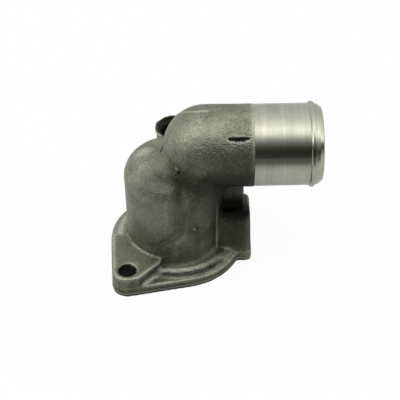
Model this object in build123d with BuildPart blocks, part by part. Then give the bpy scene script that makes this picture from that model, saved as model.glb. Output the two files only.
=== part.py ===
from build123d import *
import math
import os

# Coolant outlet housing: one sand casting in aluminium with a turned hose neck.
# Millimetres. The origin is the middle of the round flange on its gasket face,
# +Z points up through the body and +X along the hose neck.

# Flange: a round plate with two bolt ears on one diagonal
flange_r = 41.6
parting_z = 3.0
rim_height = 6.3
shoulder_height = 9.4
shoulder_r = 34.0
shoulder_edge_gap = 1.2
shoulder_bulge = 0.9

# Bolt ears
bolt_x = 30.8
bolt_y = 38.8
bolt_hole_r = 5.6
ear_r = 9.4
pad_height = 14.0
pad_draft = 2.0
pad_inset = 0.5
pad_wall_offset = 10.0
pad_nose_x = 10.6
pad_back_y = 5.0
pad_root_x = 20.0
pad_edge_r = 0.8

# Hose neck, turned on its outer half
neck_height = 79.5
neck_start_x = 18.0
cast_neck_r = 25.3
neck_r = 25.0
cast_neck_end_x = 47.1
neck_end_x = 88.6
neck_bore_r = 21.0
bore_corner_x = 13.0
bore_end_x = 3.0
bore_end_r = 13.0
bead_crest_x = 82.4
bead_crest_r = 26.3
bead_half_width = 1.3
bead_back_drop = 0.4
bead_flat = 0.4
nose_mid_x = 86.0
nose_mid_r = 24.3
nose_r = 22.2
mouth_chamfer = 0.8

# Body: the drafted chamber above the flange, with a soft domed top.
# The top of its wall follows the neck that it carries.
body_x = -1.2
body_base_r = 29.3
body_top_r = 30.6
body_wall_drop = 22.5
body_wall_top_z = neck_height - body_wall_drop
body_corner_r = 13.0
body_crown_r = 60.0
body_wall = 4.2
chamber_corner = 8.0
foot_fillet = 3.6

# Blend of the neck's round end into the body
elbow_blend = 12.0

# Port block beside the body and the web that carries the neck on it
block_x = 47.0
block_inner_x = 12.0
block_half_width = 17.6
block_corner_r = 3.5
block_height = 33.0
block_top_x = 46.2
block_top_half_width = 9.8
block_edge_r = 1.5
web_x = 42.3
web_half_width = 2.6
port_inner_x = 35.5
port_outer_x = 42.5
port_half_width = 10.0
port_corner_r = 2.5
port_depth = 26.0
port_draft = 2.0

# Small hose stub behind the body: a short elbow that turns up
stub_x = -0.5
stub_y = 38.0
stub_elbow_z = 46.0
stub_top_z = 65.0
stub_r = 10.7
stub_bore_r = 8.6
stub_bead_r = 12.0
stub_bead_height = 3.4
stub_bead_slope = 1.1
stub_feed_r = 7.0
stub_reach_y = 14.0

# Seat for the valve plate in the gasket face
seat_r = 31.5
seat_depth = 3.2


def turned(point_x, point_r):
    """A point of the neck's profile: distance along X, then radius about the neck's axis."""
    return (point_x, neck_height + point_r)


def on_arc(centre, radius, angle):
    """The point of a circle in the profile plane at an angle in degrees from the X direction."""
    turn = math.radians(angle)
    return (centre[0] + radius * math.cos(turn), centre[1] + radius * math.sin(turn))


def tangent_arc(centre, radius, start, end):
    """An arc of the profile between two angles in degrees."""
    ThreePointArc(
        on_arc(centre, radius, start),
        on_arc(centre, radius, (start + end) / 2),
        on_arc(centre, radius, end),
    )


def dome_lines():
    """Half section of the body: drafted wall, corner arc and crown arc, each tangent to the next."""
    lean = math.atan2(body_top_r - body_base_r, body_wall_top_z)
    reach = body_top_r - body_corner_r * math.cos(lean)
    corner = (body_x + reach, body_wall_top_z + body_corner_r * math.sin(lean))
    crown_rise = math.sqrt((body_crown_r - body_corner_r) ** 2 - reach**2)
    crown = (body_x, corner[1] - crown_rise)
    start = -math.degrees(lean)
    join = math.degrees(math.atan2(crown_rise, reach))
    foot = (body_x + body_base_r, 0)
    Line((body_x, 0), foot)
    Line(foot, on_arc(corner, body_corner_r, start))
    tangent_arc(corner, body_corner_r, start, join)
    tangent_arc(crown, body_crown_r, join, 90)
    Line(on_arc(crown, body_crown_r, 90), (body_x, 0))


def edges_at(shape, axis, place):
    """The edges that lie at one place along an axis."""
    margin = 0.01
    return shape.edges().filter_by_position(axis, place - margin, place + margin)


def is_pad_wall(edge):
    """Whether a pad's upper edge runs over a straight wall or round the ear."""
    if edge.geom_type == GeomType.LINE:
        return True
    return edge.geom_type == GeomType.CIRCLE and edge.radius < ear_r


half_turns = (0, 180)
bolt_places = ((-bolt_x, -bolt_y), (bolt_x, bolt_y))
body_axis = Axis((body_x, 0, 0), (0, 0, 1))
neck_axis = Axis((0, 0, neck_height), (1, 0, 0))
stub_axis = Axis((stub_x, stub_y, 0), (0, 0, 1))
stub_plane = Plane(origin=(stub_x, stub_y, 0), x_dir=(1, 0, 0), z_dir=(0, -1, 0))

with BuildPart() as housing:
    # Body
    with BuildSketch(Plane.XZ):
        with BuildLine():
            dome_lines()
        make_face()
    revolve(axis=body_axis)

    # Neck with its round end, the turned seat, the bead and the tapered nose
    with BuildSketch(Plane.XZ):
        round_end = (neck_start_x - cast_neck_r, neck_height)
        with BuildLine():
            Polyline(
                round_end,
                (neck_end_x, neck_height),
                turned(neck_end_x, nose_r),
                turned(nose_mid_x, nose_mid_r),
                turned(bead_crest_x + bead_half_width, bead_crest_r - bead_back_drop),
                turned(bead_crest_x + bead_flat, bead_crest_r),
                turned(bead_crest_x - bead_flat, bead_crest_r),
                turned(bead_crest_x - bead_half_width, neck_r),
                turned(cast_neck_end_x, neck_r),
                turned(cast_neck_end_x, cast_neck_r),
                turned(neck_start_x, cast_neck_r),
            )
            RadiusArc(turned(neck_start_x, cast_neck_r), round_end, -cast_neck_r)
        make_face()
    revolve(axis=neck_axis)

    # Casting blend where the neck's round end and underside run into the body
    fillet(housing.edges().filter_by(GeomType.BSPLINE), radius=elbow_blend)

    # Plate outline
    with BuildSketch():
        Circle(flange_r)
        with Locations(bolt_places):
            Circle(ear_r)
        make_hull()
        with Locations(((block_inner_x + block_x) / 2, 0)):
            RectangleRounded(block_x - block_inner_x, 2 * block_half_width, block_corner_r)
    extrude(amount=rim_height)

    # Convex shoulder of the plate, and the hollow foot of the body on it
    with BuildSketch(Plane.XZ):
        rim_top_r = flange_r - shoulder_edge_gap
        with BuildLine():
            Polyline(
                (0, parting_z),
                (rim_top_r, parting_z),
                (rim_top_r, rim_height),
                (
                    (rim_top_r + shoulder_r) / 2 + shoulder_bulge,
                    (rim_height + shoulder_height) / 2 + shoulder_bulge,
                ),
                (shoulder_r, shoulder_height),
                (0, shoulder_height),
                close=True,
            )
        make_face()
    revolve(axis=Axis.Z)
    with BuildSketch(Plane.XZ):
        foot_top = (body_x + body_base_r, shoulder_height + foot_fillet)
        foot_toe = (body_x + body_base_r + foot_fillet, shoulder_height)
        with BuildLine():
            Polyline(
                foot_toe,
                (foot_toe[0], parting_z),
                (body_x, parting_z),
                (body_x, foot_top[1]),
                foot_top,
            )
            RadiusArc(foot_top, foot_toe, -foot_fillet)
        make_face()
    revolve(axis=body_axis)

    # Raised pads of the two ears
    for turn in half_turns:
        with BuildSketch(Plane.XY.offset(pad_height).rotated((0, 0, turn))):
            Circle(flange_r - pad_inset)
            with Locations((-bolt_x, -bolt_y)):
                Circle(ear_r - pad_inset)
            make_hull()
            wall_y = bolt_x - bolt_y - pad_wall_offset * math.sqrt(2)
            with BuildLine():
                Polyline(
                    (-2 * flange_r, -pad_back_y),
                    (-pad_root_x, -pad_back_y),
                    (0, 0),
                    (-pad_nose_x, wall_y - pad_nose_x),
                    (-2 * flange_r, wall_y - 2 * flange_r),
                    close=True,
                )
            make_face(mode=Mode.INTERSECT)
        extrude(amount=-(pad_height - parting_z), taper=-pad_draft)
    pad_rims = edges_at(housing, Axis.Z, pad_height)
    fillet(pad_rims.filter_by(is_pad_wall), radius=pad_edge_r)

    # Port block, tapered up to its top, and the web under the neck
    with BuildPart() as block:
        with BuildSketch(Plane.YZ.offset(block_inner_x)):
            with BuildLine():
                Polyline(
                    (-block_half_width, 0),
                    (block_half_width, 0),
                    (block_top_half_width, block_height),
                    (-block_top_half_width, block_height),
                    close=True,
                )
            make_face()
        extrude(amount=block_x - block_inner_x)
        with BuildSketch(Plane.XZ):
            with BuildLine():
                Polyline(
                    (block_inner_x, 0),
                    (block_x, 0),
                    (block_top_x, block_height),
                    (block_inner_x, block_height),
                    close=True,
                )
            make_face()
        extrude(amount=block_half_width, both=True, mode=Mode.INTERSECT)
        upright = block.edges().filter_by(lambda e: 0 < e.center().Z < block_height)
        fillet(upright.sort_by(Axis.X)[-2:], radius=block_corner_r)
        fillet(edges_at(block, Axis.Z, block_height), radius=block_edge_r)
    with BuildSketch(Plane.XY.offset(parting_z)):
        Rectangle(web_x, 2 * web_half_width, align=(Align.MIN, Align.CENTER))
    extrude(amount=neck_height - parting_z)

    # Hose stub: upright limb with its bead, and the limb that joins the body
    with BuildSketch(stub_plane):
        bead_bottom_z = stub_top_z - stub_bead_height
        elbow_foot = (0, stub_elbow_z - stub_r)
        with BuildLine():
            RadiusArc(elbow_foot, (stub_r, stub_elbow_z), -stub_r)
            Polyline(
                (stub_r, stub_elbow_z),
                (stub_r, bead_bottom_z),
                (stub_bead_r, bead_bottom_z + stub_bead_slope),
                (stub_bead_r, stub_top_z - stub_bead_slope),
                (stub_r, stub_top_z),
                (0, stub_top_z),
                elbow_foot,
            )
        make_face()
    revolve(axis=stub_axis)
    with BuildSketch(stub_plane):
        with Locations((0, stub_elbow_z)):
            Circle(stub_r)
    extrude(amount=stub_y - stub_reach_y)

    # Passages: chamber, neck bore, stub bore, port, valve seat and bolt holes
    with BuildSketch(Plane.XZ):
        chamber_r = body_base_r - body_wall
        with BuildLine():
            Polyline(
                (body_x, 0),
                (body_x + chamber_r, 0),
                (body_x + chamber_r, body_wall_top_z),
                (body_x + chamber_r - chamber_corner, body_wall_top_z + chamber_corner),
                (body_x, body_wall_top_z + chamber_corner),
                close=True,
            )
        make_face()
    revolve(axis=body_axis, mode=Mode.SUBTRACT)
    with BuildSketch(Plane.XZ):
        with BuildLine():
            Polyline(
                (bore_end_x, neck_height),
                (neck_end_x, neck_height),
                turned(neck_end_x, neck_bore_r + mouth_chamfer),
                turned(neck_end_x - mouth_chamfer, neck_bore_r),
                turned(bore_corner_x, neck_bore_r),
                turned(bore_end_x, bore_end_r),
                close=True,
            )
        make_face()
    revolve(axis=neck_axis, mode=Mode.SUBTRACT)
    with BuildSketch(stub_plane):
        with Locations((0, stub_elbow_z)):
            Circle(stub_feed_r)
    extrude(amount=stub_y - stub_reach_y, mode=Mode.SUBTRACT)
    with BuildSketch(Plane.XY.offset(stub_top_z)):
        with Locations((stub_x, stub_y)):
            Circle(stub_bore_r)
    extrude(amount=-(stub_top_z - stub_elbow_z), mode=Mode.SUBTRACT)
    with BuildSketch():
        with Locations(((port_inner_x + port_outer_x) / 2, 0)):
            RectangleRounded(port_outer_x - port_inner_x, 2 * port_half_width, port_corner_r)
    extrude(amount=port_depth, taper=port_draft, mode=Mode.SUBTRACT)
    with BuildSketch():
        Circle(seat_r)
    extrude(amount=seat_depth, mode=Mode.SUBTRACT)
    with BuildSketch():
        with Locations(bolt_places):
            Circle(bolt_hole_r)
    extrude(amount=pad_height, mode=Mode.SUBTRACT)

os.makedirs("parts", exist_ok=True)
housing.part.label = "housing"
export_step(housing.part, "parts/housing.step")
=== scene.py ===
import math

import bmesh
import bpy
import numpy as np
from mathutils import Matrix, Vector, noise
from mathutils.bvhtree import BVHTree


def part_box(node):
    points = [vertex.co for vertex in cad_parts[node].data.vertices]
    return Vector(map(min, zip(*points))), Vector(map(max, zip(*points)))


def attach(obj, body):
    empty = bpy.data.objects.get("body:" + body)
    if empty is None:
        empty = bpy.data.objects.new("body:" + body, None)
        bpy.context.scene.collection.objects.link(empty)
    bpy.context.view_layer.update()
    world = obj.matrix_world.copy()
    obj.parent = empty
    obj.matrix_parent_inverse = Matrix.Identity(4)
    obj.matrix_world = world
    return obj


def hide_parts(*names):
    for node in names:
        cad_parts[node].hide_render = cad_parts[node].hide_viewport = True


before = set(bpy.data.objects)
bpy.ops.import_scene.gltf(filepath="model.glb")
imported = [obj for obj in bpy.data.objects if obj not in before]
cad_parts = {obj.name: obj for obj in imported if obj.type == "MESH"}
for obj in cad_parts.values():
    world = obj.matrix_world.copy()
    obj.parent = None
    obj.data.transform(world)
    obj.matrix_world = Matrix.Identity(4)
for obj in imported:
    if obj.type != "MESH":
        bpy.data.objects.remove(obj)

bl_info = {
    "name": "Coolant Outlet Housing",
    "version": (1, 0, 0),
    "blender": (4, 5, 0),
    "location": "View3D > Sidebar > Housing",
    "description": "Dresses a coolant outlet housing: its cast skin, turned neck and stage",
    "category": "Object",
}

NODE = "housing"
BODY = "root"
MM = 0.001


def length(label, default_mm, text):
    """A length property, given in millimetres and kept in metres."""
    return bpy.props.FloatProperty(
        name=label, description=text, default=default_mm * MM, unit="LENGTH", precision=5
    )


def colour(label, default, text):
    """A linear colour property."""
    return bpy.props.FloatVectorProperty(
        name=label, description=text, default=default, subtype="COLOR", size=3, min=0, max=1
    )


def share(label, default, text):
    """A plain number from 0 up."""
    return bpy.props.FloatProperty(name=label, description=text, default=default, min=0)


def turn(label, default_degrees, text):
    """An angle property, given in degrees and kept in radians."""
    return bpy.props.FloatProperty(
        name=label, description=text, default=math.radians(default_degrees), subtype="ANGLE"
    )


class CastingSettings(bpy.types.PropertyGroup):
    """Sizes and colours of the sand-cast part of the housing."""

    voxel: length("Voxel", 0.8, "Cell of the remesh that softens the casting's edges")
    softening: bpy.props.IntProperty(
        name="Softening", description="Smoothing passes over the cast edges", default=7, min=0
    )
    triangles: bpy.props.IntProperty(
        name="Triangles", description="Triangles left after thinning the mesh", default=180000
    )
    waviness: length("Waviness", 0.16, "Depth of the slow unevenness of the cast walls")
    waviness_size: length("Waviness size", 11, "Width of one wave of the cast walls")
    skin: length("Skin", 0.07, "Depth of the finer unevenness of the cast skin")
    skin_size: length("Skin size", 2.2, "Width of one bump of the cast skin")
    light_metal: colour("Light metal", (0.3, 0.313, 0.222), "Cleaner casting skin")
    dark_metal: colour("Dark metal", (0.17, 0.18, 0.118), "Oxidised, oily casting skin")
    # The rubbed colour also paints highlights and light, and the oil-and-soot colour also paints
    # shade
    rubbed_metal_and_highlight: colour("Rubbed metal", (0.58, 0.59, 0.47), "Bare metal on edges and rubbed spots, also used for painted highlights and light")
    grime_and_shade: colour("Grime", (0.008, 0.009, 0.004), "Old oil and soot, also used for painted shade")
    stain: colour("Stain", (0.055, 0.036, 0.018), "Brown stain")


class NeckSettings(bpy.types.PropertyGroup):
    """Sizes and colours of the turned hose neck."""

    axis_height: length("Axis height", 79.5, "Height of the neck's axis over the gasket face")
    start: length("Start", 47.1, "Where the turned length starts along the neck")
    end: length("End", 88.6, "Mouth of the neck")
    radius: length("Radius", 25.0, "Outside radius of the turned length")
    bore: length("Bore", 21.0, "Radius of the bore")
    bead_at: length("Bead at", 82.4, "Middle of the bead along the neck")
    bead_radius: length("Bead radius", 26.25, "Radius over the bead")
    nose: length("Nose", 22.2, "Radius of the nose at the mouth")
    groove_depth: length("Groove depth", 0.012, "Depth of the lathe lines")
    groove_pitch: length("Groove pitch", 0.5, "Width of one lathe line")
    segments: bpy.props.IntProperty(
        name="Segments", description="Steps round the neck", default=192, min=12
    )
    seed: bpy.props.FloatProperty(
        name="Seed", description="Picks the pattern of lathe lines", default=3.0
    )
    bright: colour("Bright", (0.63, 0.635, 0.52), "Freshly turned metal")
    dull: colour("Dull", (0.43, 0.44, 0.345), "Slightly oxidised turned metal")


class StageSettings(bpy.types.PropertyGroup):
    """Floor, room light, lamp and camera."""

    left_lamp: share("Left lamp", 0.9, "Power of the lamp at the left, in watts")
    room_level: share("Room level", 1.6, "Light of the room at its brightest, overhead")
    side_level: share("Side level", 0.3, "Light that the room adds high at the right")
    backdrop_in_metal: share("Backdrop in metal", 0.2, "How white the backdrop is in reflections")
    floor_in_metal: share("Floor in metal", 0.16, "How much white the floor adds in reflections")
    floor_glow: share("Floor glow", 1.03, "Strength of the white that the camera sees on the floor")
    floor_pale: share("Floor pale", 0.6, "Paleness of the floor to the camera and in reflections")
    floor_bounce: share("Floor bounce", 0.12, "Share of light that the floor throws on the object")
    shadow_share: share("Shadow share", 0.08, "How much of the floor's shading the camera sees")
    focal_length: bpy.props.FloatProperty(
        name="Focal length", description="Focal length of the camera, in mm", default=130.5
    )
    distance: length("Distance", 908.2, "From the camera to the point it looks at")
    elevation: turn("Elevation", 41, "Angle of the view above the horizon")
    azimuth: turn("Azimuth", -1.754, "Turn of the view from the front")


# Shader building


def new_material(name):
    """A new material; returns it with its tree and its Principled shader."""
    material = bpy.data.materials.new(name)
    material.use_nodes = True
    tree = material.node_tree
    shader = next(n for n in tree.nodes if n.type == "BSDF_PRINCIPLED")
    return material, tree, shader


def new_group(name, inputs, outputs):
    """A shader node group; returns its tree, its input node and its output node."""
    tree = bpy.data.node_groups.new(name, "ShaderNodeTree")
    kinds = {"number": "NodeSocketFloat", "vector": "NodeSocketVector"}
    for label, kind, default in inputs:
        socket = tree.interface.new_socket(name=label, in_out="INPUT", socket_type=kinds[kind])
        socket.default_value = default
    for label in outputs:
        tree.interface.new_socket(name=label, in_out="OUTPUT", socket_type=kinds["number"])
    return tree, tree.nodes.new("NodeGroupInput"), tree.nodes.new("NodeGroupOutput")


def put(tree, socket, value):
    """Sets a socket to a value, or links it when the value is another socket."""
    if isinstance(value, bpy.types.NodeSocket):
        tree.links.new(value, socket)
    else:
        socket.default_value = value


def give(tree, node, **values):
    """Sets or links a node's inputs; underscores in the keywords stand for spaces."""
    for key, value in values.items():
        put(tree, node.inputs[key.replace("_", " ")], value)


def math_node(tree, operation, a, b=0.0, clamp=False):
    """One Math node; a and b are numbers or sockets. Returns its output."""
    node = tree.nodes.new("ShaderNodeMath")
    node.operation = operation
    node.use_clamp = clamp
    put(tree, node.inputs[0], a)
    put(tree, node.inputs[1], b)
    return node.outputs[0]


def times(tree, a, b):
    """The product of two numbers or sockets."""
    return math_node(tree, "MULTIPLY", a, b)


def plus(tree, a, b):
    """The sum of two numbers or sockets."""
    return math_node(tree, "ADD", a, b)


def weighed(tree, first, weight, second):
    """A share of the first value and the rest of the second."""
    return plus(tree, times(tree, first, weight), times(tree, second, 1 - weight))


def vector_node(tree, operation, a, b=None):
    """One Vector Math node on one or two sockets; returns the node."""
    node = tree.nodes.new("ShaderNodeVectorMath")
    node.operation = operation
    tree.links.new(a, node.inputs[0])
    if b is not None:
        tree.links.new(b, node.inputs[1])
    return node


def split_node(tree, vector):
    """The X, Y and Z of a vector, as outputs of one node."""
    node = tree.nodes.new("ShaderNodeSeparateXYZ")
    tree.links.new(vector, node.inputs[0])
    return node.outputs


def ramp(tree, value, low, high):
    """0 below low, 1 above high, with an easy change between them."""
    node = tree.nodes.new("ShaderNodeMapRange")
    node.interpolation_type = "SMOOTHSTEP"
    give(tree, node, Value=value, From_Min=low, From_Max=high)
    return node.outputs["Result"]


def blend_colour(tree, factor, a, b, mode="MIX"):
    """Mixes two colours, each a socket or three numbers."""
    node = tree.nodes.new("ShaderNodeMix")
    node.data_type = "RGBA"
    node.blend_type = mode
    put(tree, node.inputs["Factor"], factor)
    for key, value in (("A", a), ("B", b)):
        socket = next(s for s in node.inputs if s.name == key and s.type == "RGBA")
        put(tree, socket, value if isinstance(value, bpy.types.NodeSocket) else (*value, 1))
    return next(s for s in node.outputs if s.type == "RGBA")


def noise_node(tree, vector, scale, detail, roughness):
    """3-D noise in the range 0 to 1."""
    node = tree.nodes.new("ShaderNodeTexNoise")
    give(tree, node, Vector=vector, Scale=scale, Detail=detail, Roughness=roughness)
    return node.outputs["Fac"]


def object_place(tree):
    """Object coordinates."""
    return tree.nodes.new("ShaderNodeTexCoord").outputs["Object"]


def foundry_grain_group():
    """Grain of a sand mould: a fine bump height and a slow mottle of tone."""
    cells_per_grain = 0.8
    pit_edge = 0.55
    fine_share = 0.7
    tree, given, out = new_group(
        "Foundry grain",
        [
            ("Vector", "vector", (0, 0, 0)),
            ("Grain per metre", "number", 1200.0),
            ("Mottle per metre", "number", 60.0),
        ],
        ["Height", "Mottle", "Speckle"],
    )
    place = given.outputs["Vector"]
    grain_scale = given.outputs["Grain per metre"]
    fine = noise_node(tree, place, grain_scale, detail=2.0, roughness=0.6)
    cells = tree.nodes.new("ShaderNodeTexVoronoi")
    cells.feature = "F1"
    give(tree, cells, Vector=place, Scale=times(tree, grain_scale, cells_per_grain))
    pits = ramp(tree, cells.outputs["Distance"], 0.0, pit_edge)
    slow = noise_node(tree, place, given.outputs["Mottle per metre"], detail=4.0, roughness=0.6)
    give(
        tree,
        out,
        Height=weighed(tree, fine, fine_share, pits),
        Mottle=ramp(tree, slow, 0.3, 0.7),
        Speckle=ramp(tree, fine, 0.35, 0.7),
    )
    return tree


def spot_group():
    """Soft-edged ellipsoid in space: 1 inside, 0 outside, with a ragged edge."""
    edge_waves_per_metre = 700.0
    middle = 0.5
    full_swing = 2.0
    tree, given, out = new_group(
        "Ragged spot",
        [
            ("Vector", "vector", (0, 0, 0)),
            ("Centre", "vector", (0, 0, 0)),
            ("Radii", "vector", (0.001, 0.001, 0.001)),
            ("Softness", "number", 0.3),
            ("Raggedness", "number", 0.4),
        ],
        ["Mask"],
    )
    place = given.outputs["Vector"]
    away = vector_node(tree, "SUBTRACT", place, given.outputs["Centre"])
    scaled = vector_node(tree, "DIVIDE", away.outputs["Vector"], given.outputs["Radii"])
    reach = vector_node(tree, "LENGTH", scaled.outputs["Vector"])
    ragged = noise_node(tree, place, edge_waves_per_metre, detail=3.0, roughness=0.6)
    swing = math_node(tree, "SUBTRACT", ragged, middle)
    shift = times(tree, swing, given.outputs["Raggedness"])
    distance = plus(tree, reach.outputs["Value"], times(tree, shift, full_swing))
    depth = math_node(tree, "SUBTRACT", 1.0, distance)
    edge = math_node(tree, "DIVIDE", depth, given.outputs["Softness"])
    give(tree, out, Mask=math_node(tree, "ADD", edge, middle, clamp=True))
    return tree


def lathe_group():
    """Lines that a lathe tool leaves: they change along the axis and hardly round it."""
    squeeze_round = 0.012
    broad_scale_share = 0.16
    lines_share = 0.55
    clouds_per_metre = 95.0
    tree, given, out = new_group(
        "Lathe lines",
        [("Vector", "vector", (0, 0, 0)), ("Lines per metre", "number", 2200.0)],
        ["Height", "Tone", "Cloud"],
    )
    place = given.outputs["Vector"]
    scale = given.outputs["Lines per metre"]
    squeeze = tree.nodes.new("ShaderNodeMapping")
    give(tree, squeeze, Vector=place, Scale=(1.0, squeeze_round, squeeze_round))
    drawn = squeeze.outputs["Vector"]
    lines = noise_node(tree, drawn, scale, detail=3.0, roughness=0.65)
    broad_scale = times(tree, scale, broad_scale_share)
    broad = noise_node(tree, drawn, broad_scale, detail=2.0, roughness=0.5)
    cloud = noise_node(tree, place, clouds_per_metre, detail=4.0, roughness=0.6)
    give(
        tree,
        out,
        Height=lines,
        Tone=ramp(tree, weighed(tree, lines, lines_share, broad), 0.3, 0.7),
        Cloud=ramp(tree, cloud, 0.35, 0.75),
    )
    return tree


def group_node(tree, group, **values):
    """Places a node group and sets its inputs; returns its outputs."""
    node = tree.nodes.new("ShaderNodeGroup")
    node.node_tree = group
    give(tree, node, **values)
    return node.outputs


def attribute(tree, name):
    """The value of a named attribute of the mesh."""
    node = tree.nodes.new("ShaderNodeAttribute")
    node.attribute_name = name
    return node.outputs["Fac"]


def bump(tree, height, strength, distance):
    """A Bump node; returns its normal."""
    node = tree.nodes.new("ShaderNodeBump")
    give(tree, node, Strength=strength, Distance=distance, Height=height)
    return node.outputs["Normal"]


# Marks on the casting, small real marks and also painted shade, painted light and painted
# highlights: what it is, centre in mm, radii in mm, strength, softness, and which of the casting's
# colours it takes
MARKS = (
    ("nick beside the elbow", (-8.4, -1.2, 78.4), (1.9, 1.5, 2.8), 1.0, 0.3, "grime_and_shade"),
    ("dark chip in the valley", (1.7, -20.2, 75.4), (1.4, 1.2, 1.1), 0.9, 0.3, "grime_and_shade"),
    ("bright chip in the valley", (0.3, -19.0, 77.4), (1.1, 1.4, 1.0), 1.0, 0.3, "rubbed"),
    ("pit", (12.4, -26.9, 36.7), (0.8, 1.2, 0.8), 0.85, 0.3, "grime_and_shade"),
    ("bright rim of the pit", (10.7, -27.6, 36.2), (0.7, 1.0, 0.7), 0.6, 0.3, "rubbed"),
    ("dark line on the left side", (-31.4, 1.9, 60.5), (1.0, 2.5, 4.6), 0.8, 0.3, "grime_and_shade"),
    ("brown stain at the block's foot", (28.0, -18.5, 11.5), (4.5, 3.5, 3.5), 0.6, 0.9, "stain"),
    ("brown haze on the shoulder", (-25.0, -5.0, 67.0), (6.0, 6.0, 2.0), 0.3, 0.9, "stain"),
    # The next six marks are painted shade: at the valley's end, on the block's top under the neck,
    # on the block's front, in the elbow's corner, on the dome's front and low on the plate's rim
    ("painted shade at the valley's end", (-9.0, -30.0, 24.0), (10.0, 7.0, 5.0), 0.45, 1.2, "grime_and_shade"),
    ("painted shade on the block's top under the neck", (37.0, -7.0, 34.0), (16.0, 9.0, 8.0), 1.0, 0.6, "grime_and_shade"),
    ("film on the block's front", (38.0, -14.0, 20.0), (15.0, 6.0, 16.0), 0.5, 0.8, "grime_and_shade"),
    ("film in the elbow's corner", (24.0, -19.0, 67.0), (25.0, 10.0, 14.0), 0.75, 1.2, "grime_and_shade"),
    ("film on the dome's front", (-11.0, -21.0, 69.0), (20.0, 8.0, 8.0), 0.6, 1.2, "grime_and_shade"),
    ("film on the plate's rim", (0.0, -44.0, 0.5), (70.0, 26.0, 4.5), 0.65, 0.8, "grime_and_shade"),
    # Painted light: the left face is made lighter, as if lit from the left
    ("painted light on the left face", (-13.0, -27.0, 47.0), (11.0, 9.0, 17.0), 0.32, 1.2, "rubbed"),
    # Painted shade below the neck
    ("film under the neck", (37.0, -22.0, 68.0), (19.0, 13.0, 14.0), 0.75, 1.2, "grime_and_shade"),
    # The marks from here on are painted highlights: on the corner beside the block, on the slope
    # beside the pad and on the crown
    ("painted highlight on the corner beside the block", (25.2, -14.0, 24.0), (0.8, 2.4, 18.0), 0.5, 0.8, "rubbed"),
    ("painted highlight on the slope beside the pad", (-19.5, -43.0, 6.4), (2.4, 2.2, 1.6), 0.6, 0.8, "rubbed"),
    ("painted highlight on the slope beside the pad", (-17.0, -40.3, 6.5), (2.4, 2.2, 1.6), 0.6, 0.8, "rubbed"),
    ("painted highlight on the slope beside the pad", (-14.5, -37.6, 7.0), (2.4, 2.2, 1.6), 0.6, 0.8, "rubbed"),
    ("painted highlight on the crown", (-20.3, 6.6, 70.2), (6.5, 4.0, 3.5), 0.8, 0.8, "rubbed"),
)


def add_marks(tree, place, shown, paints):
    """Lays every mark over a colour; returns the new colour."""
    spot = spot_group()
    for _what, centre, radii, strength, softness, paint in MARKS:
        mark = group_node(
            tree,
            spot,
            Vector=place,
            Centre=tuple(c * MM for c in centre),
            Radii=tuple(r * MM for r in radii),
            Softness=softness,
        )
        shown = blend_colour(tree, times(tree, mark["Mask"], strength), shown, paints[paint])
    return shown


# Layers of the casting's finish, its painted shade and highlights, and its gloss; bump depths are
# in metres
RUB_AND_HIGHLIGHT_SHARE = 0.75
SKY_SHADE_RANGE = (0.15, 0.75)
SKY_SHADE_COVER = 0.82
HOLLOW_SHADE_RANGE = (0.3, 0.85)
SHADED_MIDDLE = 0.5
SHADED_RAGGEDNESS = -0.25
SHADED_COVER = 0.94
SPECKLE = 0.26
CAST_METALLIC = 0.85
SHADED_METALLIC = 0.45
CAST_ROUGHNESS = 0.42
MOTTLE_ROUGHNESS = -0.08
SHADED_ROUGHNESS = 0.1
GRAIN_BUMP = 0.8
GRAIN_BUMP_DEPTH = 0.0005


def casting_material(settings):
    """Oily, oxidised sand-cast aluminium, lighter on its rubbed edges, with painted shade in its
    hollows and under the neck, and painted highlights.
    """
    material, tree, shader = new_material("Sand-cast aluminium")
    place = object_place(tree)
    grain = group_node(tree, foundry_grain_group(), Vector=place)
    mottle = grain["Mottle"]
    shown = blend_colour(tree, mottle, settings.dark_metal, settings.light_metal)
    # Lighter rubbed convex edges, plus a painted highlight on the ledge's roll
    rub_and_highlight_share = times(tree, attribute(tree, "rubbed_and_highlight"), RUB_AND_HIGHLIGHT_SHARE)
    shown = blend_colour(tree, rub_and_highlight_share, shown, settings.rubbed_metal_and_highlight)
    # Painted shade: where the sky overhead is shut off and where rays about the normal meet metal,
    # the colour is taken to near-black and the metal made less metallic and rougher
    painted_shade = ramp(tree, attribute(tree, "sheltered"), *SKY_SHADE_RANGE)
    hollow = ramp(tree, attribute(tree, "hollow"), *HOLLOW_SHADE_RANGE)
    shade_and_grime = math_node(tree, "MAXIMUM", times(tree, painted_shade, SKY_SHADE_COVER), hollow)
    ragged = times(tree, math_node(tree, "SUBTRACT", mottle, SHADED_MIDDLE), SHADED_RAGGEDNESS)
    shade_and_grime = math_node(tree, "ADD", shade_and_grime, times(tree, ragged, shade_and_grime), clamp=True)
    shown = blend_colour(tree, times(tree, shade_and_grime, SHADED_COVER), shown, settings.grime_and_shade)
    # Through the marks the oil-and-soot colour also paints shade and the rubbed colour also paints
    # light and highlights
    paints = {"grime_and_shade": settings.grime_and_shade, "stain": settings.stain, "rubbed": settings.rubbed_metal_and_highlight}
    shown = add_marks(tree, place, shown, paints)
    shown = blend_colour(tree, SPECKLE, shown, grain["Speckle"], "OVERLAY")
    shown = blend_colour(tree, attribute(tree, "raised"), shown, settings.rubbed_metal_and_highlight)
    shown = blend_colour(tree, attribute(tree, "carved"), shown, settings.grime_and_shade)
    rough = plus(tree, times(tree, mottle, MOTTLE_ROUGHNESS), CAST_ROUGHNESS)
    give(
        tree,
        shader,
        Base_Color=shown,
        Metallic=math_node(tree, "SUBTRACT", CAST_METALLIC, times(tree, shade_and_grime, SHADED_METALLIC)),
        Roughness=plus(tree, rough, times(tree, shade_and_grime, SHADED_ROUGHNESS)),
        Normal=bump(tree, grain["Height"], GRAIN_BUMP, GRAIN_BUMP_DEPTH),
    )
    return material


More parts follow.
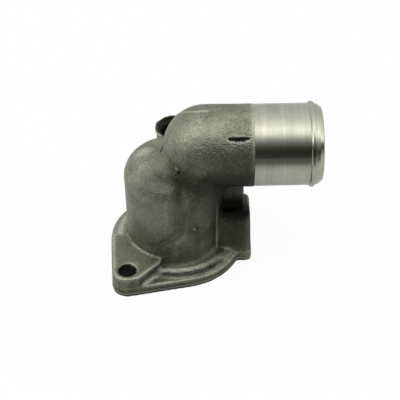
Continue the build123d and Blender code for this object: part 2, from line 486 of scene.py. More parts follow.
# Tone and gloss of the turned metal; the bump's depth is in metres
LATHE_TONE_SHARE = 0.6
TURNED_ANISOTROPY = 0.35
TURNED_ROUGHNESS = 0.23
TONE_ROUGHNESS = -0.05
LATHE_BUMP = 0.25
LATHE_BUMP_DEPTH = 0.00006


def turned_material(settings):
    """Bright turned aluminium with lathe lines and a light haze of oxide."""
    material, tree, shader = new_material("Turned aluminium")
    lathe = group_node(tree, lathe_group(), Vector=object_place(tree))
    tone = weighed(tree, lathe["Tone"], LATHE_TONE_SHARE, lathe["Cloud"])
    give(
        tree,
        shader,
        Base_Color=blend_colour(tree, tone, settings.dull, settings.bright),
        Metallic=1.0,
        Anisotropic=TURNED_ANISOTROPY,
        Roughness=plus(tree, times(tree, lathe["Tone"], TONE_ROUGHNESS), TURNED_ROUGHNESS),
        Normal=bump(tree, lathe["Height"], LATHE_BUMP, LATHE_BUMP_DEPTH),
    )
    return material


# Mesh building


def plain_object(name, mesh):
    """A new object at the origin, linked to the scene."""
    piece = bpy.data.objects.new(name, mesh)
    bpy.context.scene.collection.objects.link(piece)
    return piece


def baked(piece):
    """The object's mesh with its modifiers applied and removed."""
    bpy.context.view_layer.update()
    seen = piece.evaluated_get(bpy.context.evaluated_depsgraph_get())
    mesh = bpy.data.meshes.new_from_object(seen)
    piece.modifiers.clear()
    piece.data = mesh
    return mesh


def per_vertex(mesh, what):
    """One vector for each vertex as an array: co for its position, normal for its direction."""
    found = np.zeros(len(mesh.vertices) * 3, np.float32)
    mesh.vertices.foreach_get(what, found)
    return found.reshape(-1, 3).astype(float)


def set_coordinates(mesh, points):
    """Writes vertex positions back."""
    mesh.vertices.foreach_set("co", points.astype(np.float32).ravel())
    mesh.update()


SEED_STEPS = (17.1, 7.7, 3.3)


def waves(points, size, seed):
    """Smooth noise from -1 to 1 at each point, with waves of the given size."""
    shift = Vector([seed * step for step in SEED_STEPS])
    return np.array([noise.noise(Vector(p) / size + shift) for p in points])


def store(mesh, name, values):
    """Keeps a value on each vertex for the material."""
    kept = mesh.attributes.new(name, "FLOAT", "POINT")
    kept.data.foreach_set("value", np.asarray(values, np.float32))


def neighbour_mean(mesh, values, passes):
    """Averages a value over neighbouring vertices."""
    edges = np.zeros(len(mesh.edges) * 2, np.int32)
    mesh.edges.foreach_get("vertices", edges)
    a, b = edges.reshape(-1, 2).T
    count = np.bincount(a, minlength=len(values)) + np.bincount(b, minlength=len(values))
    count = np.maximum(count, 1)
    for _ in range(passes):
        total = np.bincount(a, values[b], len(values)) + np.bincount(b, values[a], len(values))
        values = 0.5 * values + 0.5 * total / count
    return values


def mean_place(mesh, points, passes):
    """Where each vertex would be after averaging with its neighbours."""
    return np.column_stack([neighbour_mean(mesh, points[:, k], passes) for k in range(3)])


def relax(mesh, points, where, passes):
    """Rounds off a stretch of the surface by averaging its neighbours."""
    return points + (mean_place(mesh, points, passes) - points) * where[:, None]


def smooth_step(values, low, high):
    """0 below low, 1 above high, with an easy change between them."""
    t = np.clip((values - low) / (high - low), 0, 1)
    return t * t * (3 - 2 * t)


def band(values, rise, fall):
    """1 in a band and 0 outside it; rise and fall are where each side starts and ends."""
    return smooth_step(values, *rise) * (1 - smooth_step(values, *fall))


def in_mm(points):
    """x, y and z of each point in mm, and its distance from the body's axis."""
    x, y, z = (points / MM).T
    return x, y, z, np.hypot(x, y)


def bearing(x, y):
    """Angle in degrees round the body, 0 at the front and growing to the right."""
    return np.degrees(np.arctan2(x, -y))


# Sizes from here to the turned neck are in mm and angles in degrees. A pair is where a change
# starts and where it ends.

WALL_SEED = 1
SKIN_SEED = 2

GOUGE_MIDDLE = 37.8
GOUGE_ANGLE = 46.6
GOUGE_HALF_LENGTH = 7.0
GOUGE_HALF_WIDTH = 1.05
GOUGE_DEPTH = 0.75
GOUGE_WAVE = 2.6
GOUGE_WAVE_SEED = 4
GOUGE_RIPPLE = 0.9
GOUGE_RIPPLE_SEED = 6
GOUGE_RIPPLE_SHARE = 0.5
GOUGE_WIDTH_SWING = 0.5
GOUGE_SIDE_SWING = 0.8
GOUGE_STEEPNESS = 3
NECK_SKIN = 2


def gouge_mask(points, neck):
    """1 inside the ragged gouge that lies along the cast part of the neck."""
    height = points[:, 2] - neck.axis_height
    angle = np.degrees(np.arctan2(height, -points[:, 1]))
    around = np.radians(angle - GOUGE_ANGLE) * neck.radius / MM
    along = points[:, 0] / MM - GOUGE_MIDDLE
    ripple = waves(points, GOUGE_RIPPLE * MM, GOUGE_RIPPLE_SEED)
    ragged = waves(points, GOUGE_WAVE * MM, GOUGE_WAVE_SEED) + GOUGE_RIPPLE_SHARE * ripple
    width = GOUGE_HALF_WIDTH * (1 + GOUGE_WIDTH_SWING * ragged)
    side = (around + GOUGE_SIDE_SWING * ragged) / width
    inside = 1 - np.hypot((along / GOUGE_HALF_LENGTH) ** 2, side)
    outer = np.hypot(points[:, 1], height) > neck.radius - NECK_SKIN * MM
    return np.clip(inside * GOUGE_STEEPNESS, 0, 1) * outer * (points[:, 1] < 0)


BODY_X = -1.2
VALLEY_ANGLE = 4.7
VALLEY_HALF_WIDTH = 4.6
VALLEY_DEPTH = 2.4
VALLEY_BEND = 35.0
VALLEY_BEND_Z = 38.0
VALLEY_BEND_RUN = 18
VALLEY_BEND_MOST = 1.4
VALLEY_FOOT = (19, 34)
VALLEY_HEAD = (64, 74)


def valley_depth(points):
    """Depth in mm of the soft hollow down the body's front, where the elbow's column starts."""
    x, y, z, _ring = in_mm(points)
    drop = np.clip((VALLEY_BEND_Z - z) / VALLEY_BEND_RUN, 0, VALLEY_BEND_MOST)
    middle = VALLEY_ANGLE - VALLEY_BEND * drop**2
    turned = np.radians(bearing(x - BODY_X, y) - middle)
    away = turned * np.hypot(x - BODY_X, y) / VALLEY_HALF_WIDTH
    fade = band(z, VALLEY_FOOT, VALLEY_HEAD) * (y < 0)
    return VALLEY_DEPTH * np.exp(-(away**2)) * fade


def raised_line(away, half_width, crest):
    """1 along a line, falling to 0 at its sides; a crest over 1 keeps its middle flat."""
    return np.clip(crest - np.abs(away) / half_width, 0, 1)


LINE_HEIGHT = 0.35
LINE_HALF_WIDTH = 0.7
LINE_CREST = 1.4
LINE_Y = 1.6
LINE_BOW = 5.0
LINE_BOW_X = 15.5
LINE_BOW_RUN = 10.5
LINE_BOW_MOST = 20
LINE_BACK = (-2, 3)
LINE_FRONT = (19, 22)
LINE_ABOVE = 88


def parting_line(points):
    """1 on the raised line that the mould's joint left on top of the elbow."""
    x, y, z, _ring = in_mm(points)
    middle = LINE_Y + LINE_BOW * (np.clip(LINE_BOW_X - x, 0, LINE_BOW_MOST) / LINE_BOW_RUN) ** 2
    near = raised_line(y - middle, LINE_HALF_WIDTH, LINE_CREST)
    return near * band(x, LINE_BACK, LINE_FRONT) * (z > LINE_ABOVE)


RIDGE_HEIGHT = 0.3
RIDGE_HALF_WIDTH = 0.55
RIDGE_CREST = 1.3
RIDGE_Z = 2.2
RIDGE_RING = 36
UPRIGHT = 0.5


def joint_ridge(points, directions):
    """1 on the ridge that the mould's joint left round the plate's edge."""
    _x, _y, z, ring = in_mm(points)
    upright = np.abs(directions[:, 2]) < UPRIGHT
    return raised_line(z - RIDGE_Z, RIDGE_HALF_WIDTH, RIDGE_CREST) * (ring > RIDGE_RING) * upright


ROLL_START = 33.0
ROLL_TOP = 9.4
ROLL_ROUND = 2.4
ROLL_SLOPE = 0.52
ROLL_LEFT = (-24, -10)
ROLL_RIGHT = (40, 56)
PLATE_TOP = 6.4
LEDGE_INNER = 31
LEDGE_OUTER = 42
LEDGE_TOP = 10.6


def roll_front(x, y):
    """1 on the stretch of the ledge between the near pad and the block."""
    return band(bearing(x, y), ROLL_LEFT, ROLL_RIGHT)


def roll_drop(points):
    """How far in mm the ledge at the body's foot is rounded down to the plate."""
    x, y, z, ring = in_mm(points)
    out = np.clip(ring - ROLL_START, 0, None)
    rounded, straight = 0.5 * out**2 / ROLL_ROUND, out - 0.5 * ROLL_ROUND
    fall = np.where(out < ROLL_ROUND, rounded, straight) * ROLL_SLOPE
    rolled = np.maximum(ROLL_TOP - fall, PLATE_TOP)
    ledge = (ring > LEDGE_INNER) * (ring < LEDGE_OUTER) * (z < LEDGE_TOP) * (z > PLATE_TOP)
    return np.clip(z - rolled, 0, None) * roll_front(x, y) * ledge


STUB = np.array((-0.5, 38.0))
STUB_REACH = 10
FLARE = 1.8
FLARE_Z = (60.5, 64.5)


def mouth_flare(points):
    """How far in mm the mouth of the small stub is opened out."""
    x, y, z, _ring = in_mm(points)
    inside = np.hypot(x - STUB[0], y - STUB[1]) < STUB_REACH
    return FLARE * smooth_step(z, *FLARE_Z) * inside


# Where the ledge's shoulder is softened, and where its roll is evened out: across and in height
SHOULDER_RING = ((32.5, 34), (39, 40))
SHOULDER_Z = ((6, 7.5), (10.2, 11))
SHOULDER_PASSES = 30
EVEN_RING = ((33.5, 35), (40, 42))
EVEN_FOOT = (6, 6.6)
EVEN_TOP = 9.8
EVEN_PASSES = 24
MACHINED_VOXELS = 0.75
PLAIN_BELOW = 1.5
BELOW_NECK = 50
TRIM_GAP = 0.1


def cast_relief(mesh, points, directions, settings, neck):
    """Moves the softened skin: rolled ledge, valley, raised lines, gouge and uneven walls."""
    x, y, z, ring = in_mm(points)
    shoulder_foot, shoulder_top = SHOULDER_Z
    shoulder = band(ring, *SHOULDER_RING) * smooth_step(z, *shoulder_foot)
    shoulder *= 1 - smooth_step(z, *shoulder_top)
    points = relax(mesh, points, shoulder, SHOULDER_PASSES)
    points[:, 2] -= roll_drop(points) * MM
    rolled = band(ring, *EVEN_RING) * smooth_step(z, *EVEN_FOOT) * (z < EVEN_TOP)
    points = relax(mesh, points, rolled * roll_front(x, y), EVEN_PASSES)
    flare = mouth_flare(points) * MM
    away = points[:, :2] - STUB * MM
    points[:, :2] += away / np.linalg.norm(away, axis=1)[:, None] * flare[:, None]
    machined = z < MACHINED_VOXELS * settings.voxel / MM
    points[machined, 2] = 0
    shift = waves(points, settings.waviness_size, WALL_SEED) * settings.waviness
    shift += waves(points, settings.skin_size, SKIN_SEED) * settings.skin
    shift[z < PLAIN_BELOW] = 0
    shift -= valley_depth(points) * MM
    shift += parting_line(points) * LINE_HEIGHT * MM
    shift += joint_ridge(points, directions) * RIDGE_HEIGHT * MM
    shift -= gouge_mask(points, neck) * GOUGE_DEPTH * MM
    points = points + directions * shift[:, None]
    low = z < BELOW_NECK
    points[low, 0] = np.minimum(points[low, 0], neck.start - TRIM_GAP * MM)
    return points


WELD = 0.002
SOFTENING_FACTOR = 0.5


def build_casting(settings, neck):
    """The cast part: the CAD solid remeshed fine, its edges softened and its skin made uneven."""
    shape = bmesh.new()
    shape.from_mesh(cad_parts[NODE].data)
    bmesh.ops.remove_doubles(shape, verts=shape.verts, dist=WELD * MM)
    mesh = bpy.data.meshes.new("casting")
    shape.to_mesh(mesh)
    shape.free()
    mesh.materials.clear()
    piece = plain_object("casting", mesh)
    fine = piece.modifiers.new("Fine", "REMESH")
    fine.mode = "VOXEL"
    fine.voxel_size = settings.voxel
    soft = piece.modifiers.new("Soft", "SMOOTH")
    soft.factor = SOFTENING_FACTOR
    soft.iterations = settings.softening
    mesh = baked(piece)
    points, directions = per_vertex(mesh, "co"), per_vertex(mesh, "normal")
    low, high = (np.array(corner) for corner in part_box(NODE))
    points = cast_relief(mesh, points, directions, settings, neck)
    set_coordinates(mesh, np.clip(points, low, high))
    thin = piece.modifiers.new("Thin", "DECIMATE")
    thin.ratio = min(1.0, settings.triangles / sum(len(f.vertices) - 2 for f in mesh.polygons))
    mesh = baked(piece)
    trim_at_shoulder(mesh, neck.start)
    keep_masks(mesh, neck)
    mesh.materials.append(casting_material(settings))
    mesh.shade_smooth()
    return piece


def trim_at_shoulder(mesh, shoulder):
    """Cuts the casting off square where the turned length starts."""
    shape = bmesh.new()
    shape.from_mesh(mesh)
    cut = bmesh.ops.bisect_plane(
        shape,
        geom=shape.verts[:] + shape.edges[:] + shape.faces[:],
        plane_co=(shoulder, 0, 0),
        plane_no=(1, 0, 0),
        clear_outer=True,
    )
    rim = [e for e in cut["geom_cut"] if isinstance(e, bmesh.types.BMEdge)]
    bmesh.ops.bridge_loops(shape, edges=[e for e in rim if e.is_boundary])
    bmesh.ops.triangulate(shape, faces=[f for f in shape.faces if len(f.verts) > 4])
    bmesh.ops.recalc_face_normals(shape, faces=shape.faces)
    shape.to_mesh(mesh)
    shape.free()


RAYS = 14
RAY_SEED = 5
RAY_LIFT = 0.8
RAY_LEAN = 1.05


def blocked_share(tree, points, directions, lean, reach):
    """Share of the rays about each vertex's lean that meet metal within the reach, 0 to 1."""
    probes = np.random.default_rng(RAY_SEED).normal(size=(RAYS, 3))
    probes /= np.linalg.norm(probes, axis=1)[:, None]
    starts = points + directions * (RAY_LIFT + valley_depth(points))[:, None] * MM
    blocked = np.zeros(len(points))
    for probe in probes:
        heading = lean * RAY_LEAN + probe
        behind = (heading * directions).sum(axis=1) < 0
        blocked[behind] += 1
        for i in np.flatnonzero(~behind):
            blocked[i] += tree.ray_cast(starts[i], heading[i], reach)[0] is not None
    return blocked / RAYS


ROLL_HIGHLIGHT_RING = ((33, 35), (36.5, 38.5))
ROLL_HIGHLIGHT_FOOT = (6, 7)
ROLL_HIGHLIGHT_TOP = 10


def roll_highlight(points):
    """1 on the roll where the ledge falls to the plate, where a highlight is painted."""
    _x, _y, z, ring = in_mm(points)
    return band(ring, *ROLL_HIGHLIGHT_RING) * smooth_step(z, *ROLL_HIGHLIGHT_FOOT) * (z < ROLL_HIGHLIGHT_TOP)


FOOT_OUTER = (31, 33.5)
FOOT_TOP = (10.5, 17)
FOOT_INNER = 25


def foot_corner_shade(points):
    """1 in the corner at the body's foot, where shade is painted."""
    _x, _y, z, ring = in_mm(points)
    corner = (1 - smooth_step(ring, *FOOT_OUTER)) * (1 - smooth_step(z, *FOOT_TOP))
    return corner * (ring > FOOT_INNER)


SHARP_DROP = 0.1
SHARP_MOST = 1.5


def edge_wear(mesh, points, directions):
    """1 on sharp convex edges: there the neighbours' mean lies below the vertex."""
    drop = ((points - mean_place(mesh, points, 4)) * directions).sum(axis=1)
    sharp = np.clip(drop / (SHARP_DROP * MM), 0, SHARP_MOST)
    return np.clip(neighbour_mean(mesh, sharp, 2), 0, 1)


HOLLOW_REACH = 30
SKY_REACH = 200
VALLEY_SHADE = 0.58
FOOT_SHADE = 0.65
GOUGE_LIFT = 0.4
GOUGE_GRIME = 1.5
LINE_RUB = 0.6
BOLT = np.array((-30.8, -38.8))
BOLT_PAD = 8
BOLT_PAD_WEAR = 0.3


def keep_masks(mesh, neck):
    """Stores painted shade (rays blocked about each normal and from overhead, the valley, the
    foot's corner), rubbed edges with the roll's painted highlight, and where lines lie, for the
    material.
    """
    points, directions = per_vertex(mesh, "co"), per_vertex(mesh, "normal")
    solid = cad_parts[NODE].data
    faces = [tuple(f.vertices) for f in solid.polygons]
    tree = BVHTree.FromPolygons([tuple(p) for p in per_vertex(solid, "co")], faces)
    # Painted shade: the share of rays about each normal, and of rays from overhead, that meet metal
    hollow = blocked_share(tree, points, directions, directions, HOLLOW_REACH * MM)
    overhead = np.tile((0.0, 0.0, 1.0), (len(points), 1))
    sheltered = blocked_share(tree, points, directions, overhead, SKY_REACH * MM)
    # The valley and the foot's corner get painted shade too
    hollow = np.maximum(hollow, valley_depth(points) / VALLEY_DEPTH * VALLEY_SHADE)
    hollow = np.maximum(hollow, foot_corner_shade(points) * FOOT_SHADE)
    store(mesh, "hollow", neighbour_mean(mesh, hollow, 2))
    store(mesh, "sheltered", neighbour_mean(mesh, sheltered, 3))
    gouge = gouge_mask(points + directions * GOUGE_LIFT * MM, neck)
    store(mesh, "carved", np.clip(gouge * GOUGE_GRIME, 0, 1))
    raised = np.maximum(parting_line(points), joint_ridge(points, directions))
    store(mesh, "raised", raised * LINE_RUB)
    rubbed_and_highlight = edge_wear(mesh, points, directions)
    rubbed_and_highlight[np.hypot(*(points[:, :2] - BOLT * MM).T) < BOLT_PAD * MM] *= BOLT_PAD_WEAR
    store(mesh, "rubbed_and_highlight", np.maximum(rubbed_and_highlight, roll_highlight(points)))


def neck_profile(neck):
    """The neck's closed section: distance along the axis, radius, and how deep lines are cut."""
    step = 0.00022
    inner_step = 0.004
    wall_step = 0.002
    body_cut, bead_cut, nose_cut, mouth_cut = 1, 0.4, 0.6, 0.3
    bead_steps = 8
    bead_fullness = 1.3
    bead_half = 1.3 * MM
    bead_foot = 0.5 * MM
    chamfer = 0.8 * MM
    start = neck.start - 0.4 * MM
    outline = []

    def line(x0, r0, x1, r1, gap, cut):
        """Adds the points from one corner up to, not including, the next."""
        count = max(1, int(round(math.hypot(x1 - x0, r1 - r0) / gap)))
        for i in range(count):
            t = i / count
            outline.append((x0 + (x1 - x0) * t, r0 + (r1 - r0) * t, cut))

    bead = []
    for i in range(bead_steps + 1):
        angle = math.pi * (i / bead_steps)
        rise = math.sin(angle) ** bead_fullness * (neck.bead_radius - neck.radius)
        x = neck.bead_at - math.cos(angle) * (bead_half + bead_foot)
        bead.append((x, neck.radius + rise))
    bead_back = (neck.bead_at + bead_half + 0.2 * MM, neck.radius + 0.15 * MM)
    nose_middle = (neck.bead_at + 3.6 * MM, neck.radius - 0.7 * MM)
    nose_edge = (neck.end - 0.35 * MM, neck.nose + 0.5 * MM)
    line(start, neck.bore, start, neck.radius, wall_step, 0)
    bead_start = neck.bead_at - bead_half - bead_foot
    line(start, neck.radius, bead_start, neck.radius, step, body_cut)
    for a, b in zip(bead[:-3], bead[1:-2]):
        line(*a, *b, step, bead_cut)
    line(*bead[-3], *bead_back, step, bead_cut)
    line(*bead_back, *nose_middle, step, nose_cut)
    line(*nose_middle, *nose_edge, step, nose_cut)
    line(*nose_edge, neck.end, neck.nose, step, mouth_cut)
    line(neck.end, neck.nose, neck.end, neck.bore + chamfer, step, mouth_cut)
    line(neck.end, neck.bore + chamfer, neck.end - chamfer, neck.bore, step, mouth_cut)
    line(neck.end - chamfer, neck.bore, start, neck.bore, inner_step, 0)
    outline.append((start, neck.bore, 0))
    return outline


def revolve_tree():
    """Geometry nodes that turn a profile round the neck's axis and cut fine lathe lines in it."""
    merge_distance = 1e-6
    tree = bpy.data.node_groups.new("Turn on the lathe", "GeometryNodeTree")
    sockets = (
        ("Geometry", "NodeSocketGeometry"),
        ("Segments", "NodeSocketInt"),
        ("Axis Height", "NodeSocketFloat"),
        ("Groove Depth", "NodeSocketFloat"),
        ("Groove Pitch", "NodeSocketFloat"),
        ("Seed", "NodeSocketFloat"),
        ("Material", "NodeSocketMaterial"),
    )
    for label, kind in sockets:
        tree.interface.new_socket(name=label, in_out="INPUT", socket_type=kind)
    tree.interface.new_socket(
        name="Geometry", in_out="OUTPUT", socket_type="NodeSocketGeometry"
    )
    nodes = tree.nodes
    given = nodes.new("NodeGroupInput").outputs
    out = nodes.new("NodeGroupOutput")

    # A flat grid: one column for each point of the profile, one row for each step round the axis
    size = nodes.new("GeometryNodeAttributeDomainSize")
    give(tree, size, Geometry=given["Geometry"])
    columns = size.outputs["Point Count"]
    grid = nodes.new("GeometryNodeMeshGrid")
    rows = plus(tree, given["Segments"], 1)
    give(tree, grid, Size_X=1, Size_Y=1, Vertices_X=columns, Vertices_Y=rows)
    place = split_node(tree, nodes.new("GeometryNodeInputPosition").outputs[0])
    across = times(tree, plus(tree, place["X"], 0.5), math_node(tree, "SUBTRACT", columns, 1))
    index = math_node(tree, "ROUND", across)

    def sampled(kind, value):
        """A value of the profile at the grid's own column."""
        node = nodes.new("GeometryNodeSampleIndex")
        node.data_type = kind
        give(tree, node, Geometry=given["Geometry"], Index=index, Value=value)
        return node.outputs["Value"]

    here = nodes.new("GeometryNodeInputPosition").outputs[0]
    profile = split_node(tree, sampled("FLOAT_VECTOR", here))
    kept_cut = nodes.new("GeometryNodeInputNamedAttribute")
    kept_cut.data_type = "FLOAT"
    give(tree, kept_cut, Name="cut")
    cut = sampled("FLOAT", kept_cut.outputs["Attribute"])

    # Lathe lines: noise along the axis only lowers the radius
    lines = nodes.new("ShaderNodeTexNoise")
    lines.noise_dimensions = "1D"
    where = math_node(tree, "DIVIDE", profile["X"], given["Groove Pitch"])
    give(tree, lines, Scale=1, Detail=2, W=plus(tree, where, given["Seed"]))
    swing = math_node(tree, "SUBTRACT", lines.outputs["Fac"], 1.0)
    swing = times(tree, swing, given["Groove Depth"])
    radius = plus(tree, profile["Z"], times(tree, swing, cut))

    angle = times(tree, plus(tree, place["Y"], 0.5), 2 * math.pi)
    turned = nodes.new("ShaderNodeCombineXYZ")
    height = times(tree, radius, math_node(tree, "COSINE", angle))
    give(
        tree,
        turned,
        X=profile["X"],
        Y=times(tree, radius, math_node(tree, "SINE", angle)),
        Z=plus(tree, height, given["Axis Height"]),
    )
    move = nodes.new("GeometryNodeSetPosition")
    give(tree, move, Geometry=grid.outputs["Mesh"], Position=turned.outputs[0])
    close = nodes.new("GeometryNodeMergeByDistance")
    give(tree, close, Geometry=move.outputs["Geometry"], Distance=merge_distance)
    real = nodes.new("GeometryNodeRealizeInstances")
    give(tree, real, Geometry=close.outputs["Geometry"])
    dress = nodes.new("GeometryNodeSetMaterial")
    give(tree, dress, Geometry=real.outputs["Geometry"], Material=given["Material"])
    give(tree, out, Geometry=dress.outputs["Geometry"])
    return tree


SHARP_ANGLE = 35


def build_turned_neck(neck):
    """The turned length of the neck with its bead and nose, revolved by geometry nodes."""
    outline = neck_profile(neck)
    mesh = bpy.data.meshes.new("turned_neck")
    corners = [(x, 0, radius) for x, radius, _cut in outline]
    mesh.from_pydata(corners, [(i, i + 1) for i in range(len(corners) - 1)], [])
    store(mesh, "cut", [cut for _x, _radius, cut in outline])
    piece = plain_object("turned_neck", mesh)
    modifier = piece.modifiers.new("Turn", "NODES")
    tree = revolve_tree()
    modifier.node_group = tree
    values = {
        "Segments": neck.segments,
        "Axis Height": neck.axis_height,
        "Groove Depth": neck.groove_depth,
        "Groove Pitch": neck.groove_pitch,
        "Seed": neck.seed,
        "Material": turned_material(neck),
    }
    for item in tree.interface.items_tree:
        if item.in_out == "INPUT" and item.name in values:
            modifier[item.identifier] = values[item.name]
    mesh = baked(piece)
    shape = bmesh.new()
    shape.from_mesh(mesh)
    bmesh.ops.recalc_face_normals(shape, faces=shape.faces)
    shape.to_mesh(mesh)
    shape.free()
    mesh.shade_smooth()
    mesh.set_sharp_from_angle(angle=math.radians(SHARP_ANGLE))
    return piece


def settle(piece):
    """Fixes a finished piece to the housing's body in place of its CAD solid."""
    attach(piece, BODY)
    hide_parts(NODE)


# Stage; its sizes are in metres


def direct_rays(tree, in_metal):
    """1 for rays from the camera or through glass, and the given amount in reflections."""
    path = tree.nodes.new("ShaderNodeLightPath").outputs
    direct = math_node(tree, "MAXIMUM", path["Is Camera Ray"], path["Is Transmission Ray"])
    reflected = times(tree, path["Is Glossy Ray"], in_metal)
    return math_node(tree, "MAXIMUM", direct, reflected)


def show_mix(tree, kind, factor, first, second):
    """Mixes two shaders and sends them to the tree's output of the given kind."""
    mix = tree.nodes.new("ShaderNodeMixShader")
    for socket, value in zip(mix.inputs, (factor, first, second)):
        put(tree, socket, value)
    out = next(n for n in tree.nodes if n.type == kind)
    tree.links.new(mix.outputs[0], out.inputs["Surface"])


FLOOR_SIZE = 12
FLOOR_Z = -0.0002
FLOOR_ROUGHNESS = 0.9
FLOOR_LIT = (-0.33, -0.07)


def build_floor(stage):
    """A pale floor that reads as white and keeps the object's shadow."""
    bpy.ops.mesh.primitive_plane_add(size=FLOOR_SIZE, location=(0, 0, FLOOR_Z))
    floor = bpy.context.object
    floor.name = "floor"
    material, tree, shader = new_material("Pale floor")
    glow = tree.nodes.new("ShaderNodeEmission")
    give(tree, glow, Strength=stage.floor_glow)
    lit = ramp(tree, split_node(tree, object_place(tree))["Y"], *FLOOR_LIT)
    bounce, pale = (stage.floor_bounce,) * 3, (stage.floor_pale,) * 3
    shown = blend_colour(tree, direct_rays(tree, lit), bounce, pale)
    give(tree, shader, Base_Color=shown, Roughness=FLOOR_ROUGHNESS)
    white = direct_rays(tree, times(tree, lit, stage.floor_in_metal))
    kept = times(tree, white, 1 - stage.shadow_share)
    show_mix(tree, "OUTPUT_MATERIAL", kept, shader.outputs[0], glow.outputs[0])
    floor.data.materials.append(material)


# Light of the room from the front horizon over the top to the back: degrees, and share of the
# room's level
ROOM = (
    (0, 0.02),
    (25, 0.02),
    (33, 0.06),
    (42, 0.13),
    (50, 0.28),
    (59, 0.55),
    (68, 0.92),
    (77, 1.08),
    (86, 1.0),
    (96, 0.82),
    (105, 0.68),
    (116, 0.58),
    (127, 0.5),
    (154, 0.38),
    (180, 0.36),
)
SIDE_RIGHT = (0.45, 0.95)
SIDE_ABOVE = (0.05, 0.4)
BACKDROP_FROM = (-0.1, 0.55)
WHITE = (1, 1, 1, 1)


def room_steps(tree, turned):
    """The room's light by its angle over the object, as a colour ramp."""
    levels = tree.nodes.new("ShaderNodeValToRGB")
    tree.links.new(turned, levels.inputs[0])
    steps = levels.color_ramp.elements
    steps.remove(steps[0])
    steps[0].position = 0
    for degrees, level in ROOM:
        step = steps[0] if degrees == 0 else steps.new(degrees / 180)
        step.color = (level, level, level, 1)
    return levels.outputs["Color"]


def build_world(stage):
    """Soft room: brightest overhead, pale behind the object and dark in front of it."""
    world = bpy.data.worlds.new("Studio")
    bpy.context.scene.world = world
    world.use_nodes = True
    tree = world.node_tree
    room = next(n for n in tree.nodes if n.type == "BACKGROUND")
    way = split_node(tree, tree.nodes.new("ShaderNodeTexCoord").outputs["Generated"])
    forward = times(tree, way["Y"], -1.0)
    turned = math_node(tree, "DIVIDE", math_node(tree, "ARCTAN2", way["Z"], forward), math.pi)
    level = times(tree, room_steps(tree, turned), stage.room_level)
    side = times(tree, ramp(tree, way["X"], *SIDE_RIGHT), ramp(tree, way["Z"], *SIDE_ABOVE))
    level = plus(tree, level, times(tree, side, stage.side_level))
    give(tree, room, Strength=level, Color=WHITE)
    white = tree.nodes.new("ShaderNodeBackground")
    give(tree, white, Color=WHITE)
    behind = ramp(tree, way["Y"], *BACKDROP_FROM)
    seen = direct_rays(tree, times(tree, behind, stage.backdrop_in_metal))
    show_mix(tree, "OUTPUT_WORLD", seen, room.outputs[0], white.outputs[0])


def aim(thing, target):
    """Points an object's -Z at the target."""
    away = Vector(target) - thing.location
    thing.rotation_euler = away.to_track_quat("-Z", "Y").to_euler()


LAMP_PLACE = (-0.9, -0.35, 0.55)
LAMP_TARGET = (0, 0, 0.05)
LAMP_SIDE = 0.4


def build_lamp(stage):
    """A soft square lamp at the left."""
    lamp = bpy.data.lights.new("left lamp", "AREA")
    lamp.shape = "SQUARE"
    lamp.size = LAMP_SIDE
    lamp.energy = stage.left_lamp
    holder = plain_object("left lamp", lamp)
    holder.location = LAMP_PLACE
    holder.visible_camera = False
    aim(holder, LAMP_TARGET)


CAMERA_TARGET = (15.1 * MM, 0.0, 35.96 * MM)


def build_camera(stage):
    """The camera at the picture's viewing angle."""
    lens = bpy.data.cameras.new("camera")
    lens.lens = stage.focal_length
    lens.sensor_width = 36
    lens.clip_start = 0.01
    camera = plain_object("camera", lens)
    flat = math.cos(stage.elevation) * stage.distance
    camera.location = Vector(CAMERA_TARGET) + Vector(
        (
            math.sin(stage.azimuth) * flat,
            -math.cos(stage.azimuth) * flat,
            math.sin(stage.elevation) * stage.distance,
        )
    )
    aim(camera, CAMERA_TARGET)
    bpy.context.scene.camera = camera


class HOUSING_OT_casting(bpy.types.Operator):
    """Builds the sand-cast part of the housing"""

    bl_idname = "housing.casting"
    bl_label = "Casting"

    def execute(self, context):
        settle(build_casting(context.scene.housing_casting, context.scene.housing_neck))
        return {"FINISHED"}


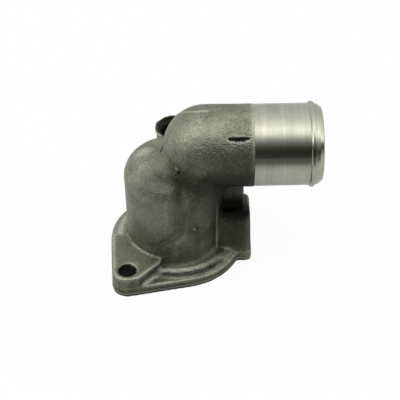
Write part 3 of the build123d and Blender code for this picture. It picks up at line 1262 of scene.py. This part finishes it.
class HOUSING_OT_turned_neck(bpy.types.Operator):
    """Builds the turned length of the hose neck"""

    bl_idname = "housing.turned_neck"
    bl_label = "Turned neck"

    def execute(self, context):
        settle(build_turned_neck(context.scene.housing_neck))
        return {"FINISHED"}


class HOUSING_OT_stage(bpy.types.Operator):
    """Builds the floor, the room light, the lamp and the camera"""

    bl_idname = "housing.stage"
    bl_label = "Stage"

    def execute(self, context):
        stage = context.scene.housing_stage
        context.scene.view_settings.view_transform = "Standard"
        build_camera(stage)
        build_floor(stage)
        build_world(stage)
        build_lamp(stage)
        return {"FINISHED"}


class VIEW3D_PT_housing(bpy.types.Panel):
    """Sidebar panel with the housing's pieces and their sizes"""

    bl_label = "Coolant Outlet Housing"
    bl_idname = "VIEW3D_PT_housing"
    bl_space_type = "VIEW_3D"
    bl_region_type = "UI"
    bl_category = "Housing"

    def draw(self, context):
        groups = (
            (context.scene.housing_casting, HOUSING_OT_casting),
            (context.scene.housing_neck, HOUSING_OT_turned_neck),
            (context.scene.housing_stage, HOUSING_OT_stage),
        )
        for settings, operator in groups:
            box = self.layout.box()
            for key in settings.__annotations__:
                box.prop(settings, key)
            box.operator(operator.bl_idname)


CLASSES = (
    CastingSettings,
    NeckSettings,
    StageSettings,
    HOUSING_OT_casting,
    HOUSING_OT_turned_neck,
    HOUSING_OT_stage,
    VIEW3D_PT_housing,
)
SETTINGS = {
    "housing_casting": CastingSettings,
    "housing_neck": NeckSettings,
    "housing_stage": StageSettings,
}


def register():
    """Adds the classes, and the settings to the scene."""
    for item in CLASSES:
        bpy.utils.register_class(item)
    for key, kind in SETTINGS.items():
        setattr(bpy.types.Scene, key, bpy.props.PointerProperty(type=kind))


def unregister():
    """Takes the settings and the classes away again."""
    for key in SETTINGS:
        delattr(bpy.types.Scene, key)
    for item in reversed(CLASSES):
        bpy.utils.unregister_class(item)


def main():
    """Builds the stage and both pieces."""
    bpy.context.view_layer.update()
    register()
    bpy.ops.housing.stage()
    bpy.ops.housing.casting()
    bpy.ops.housing.turned_neck()


if __name__ == "__main__":
    main()
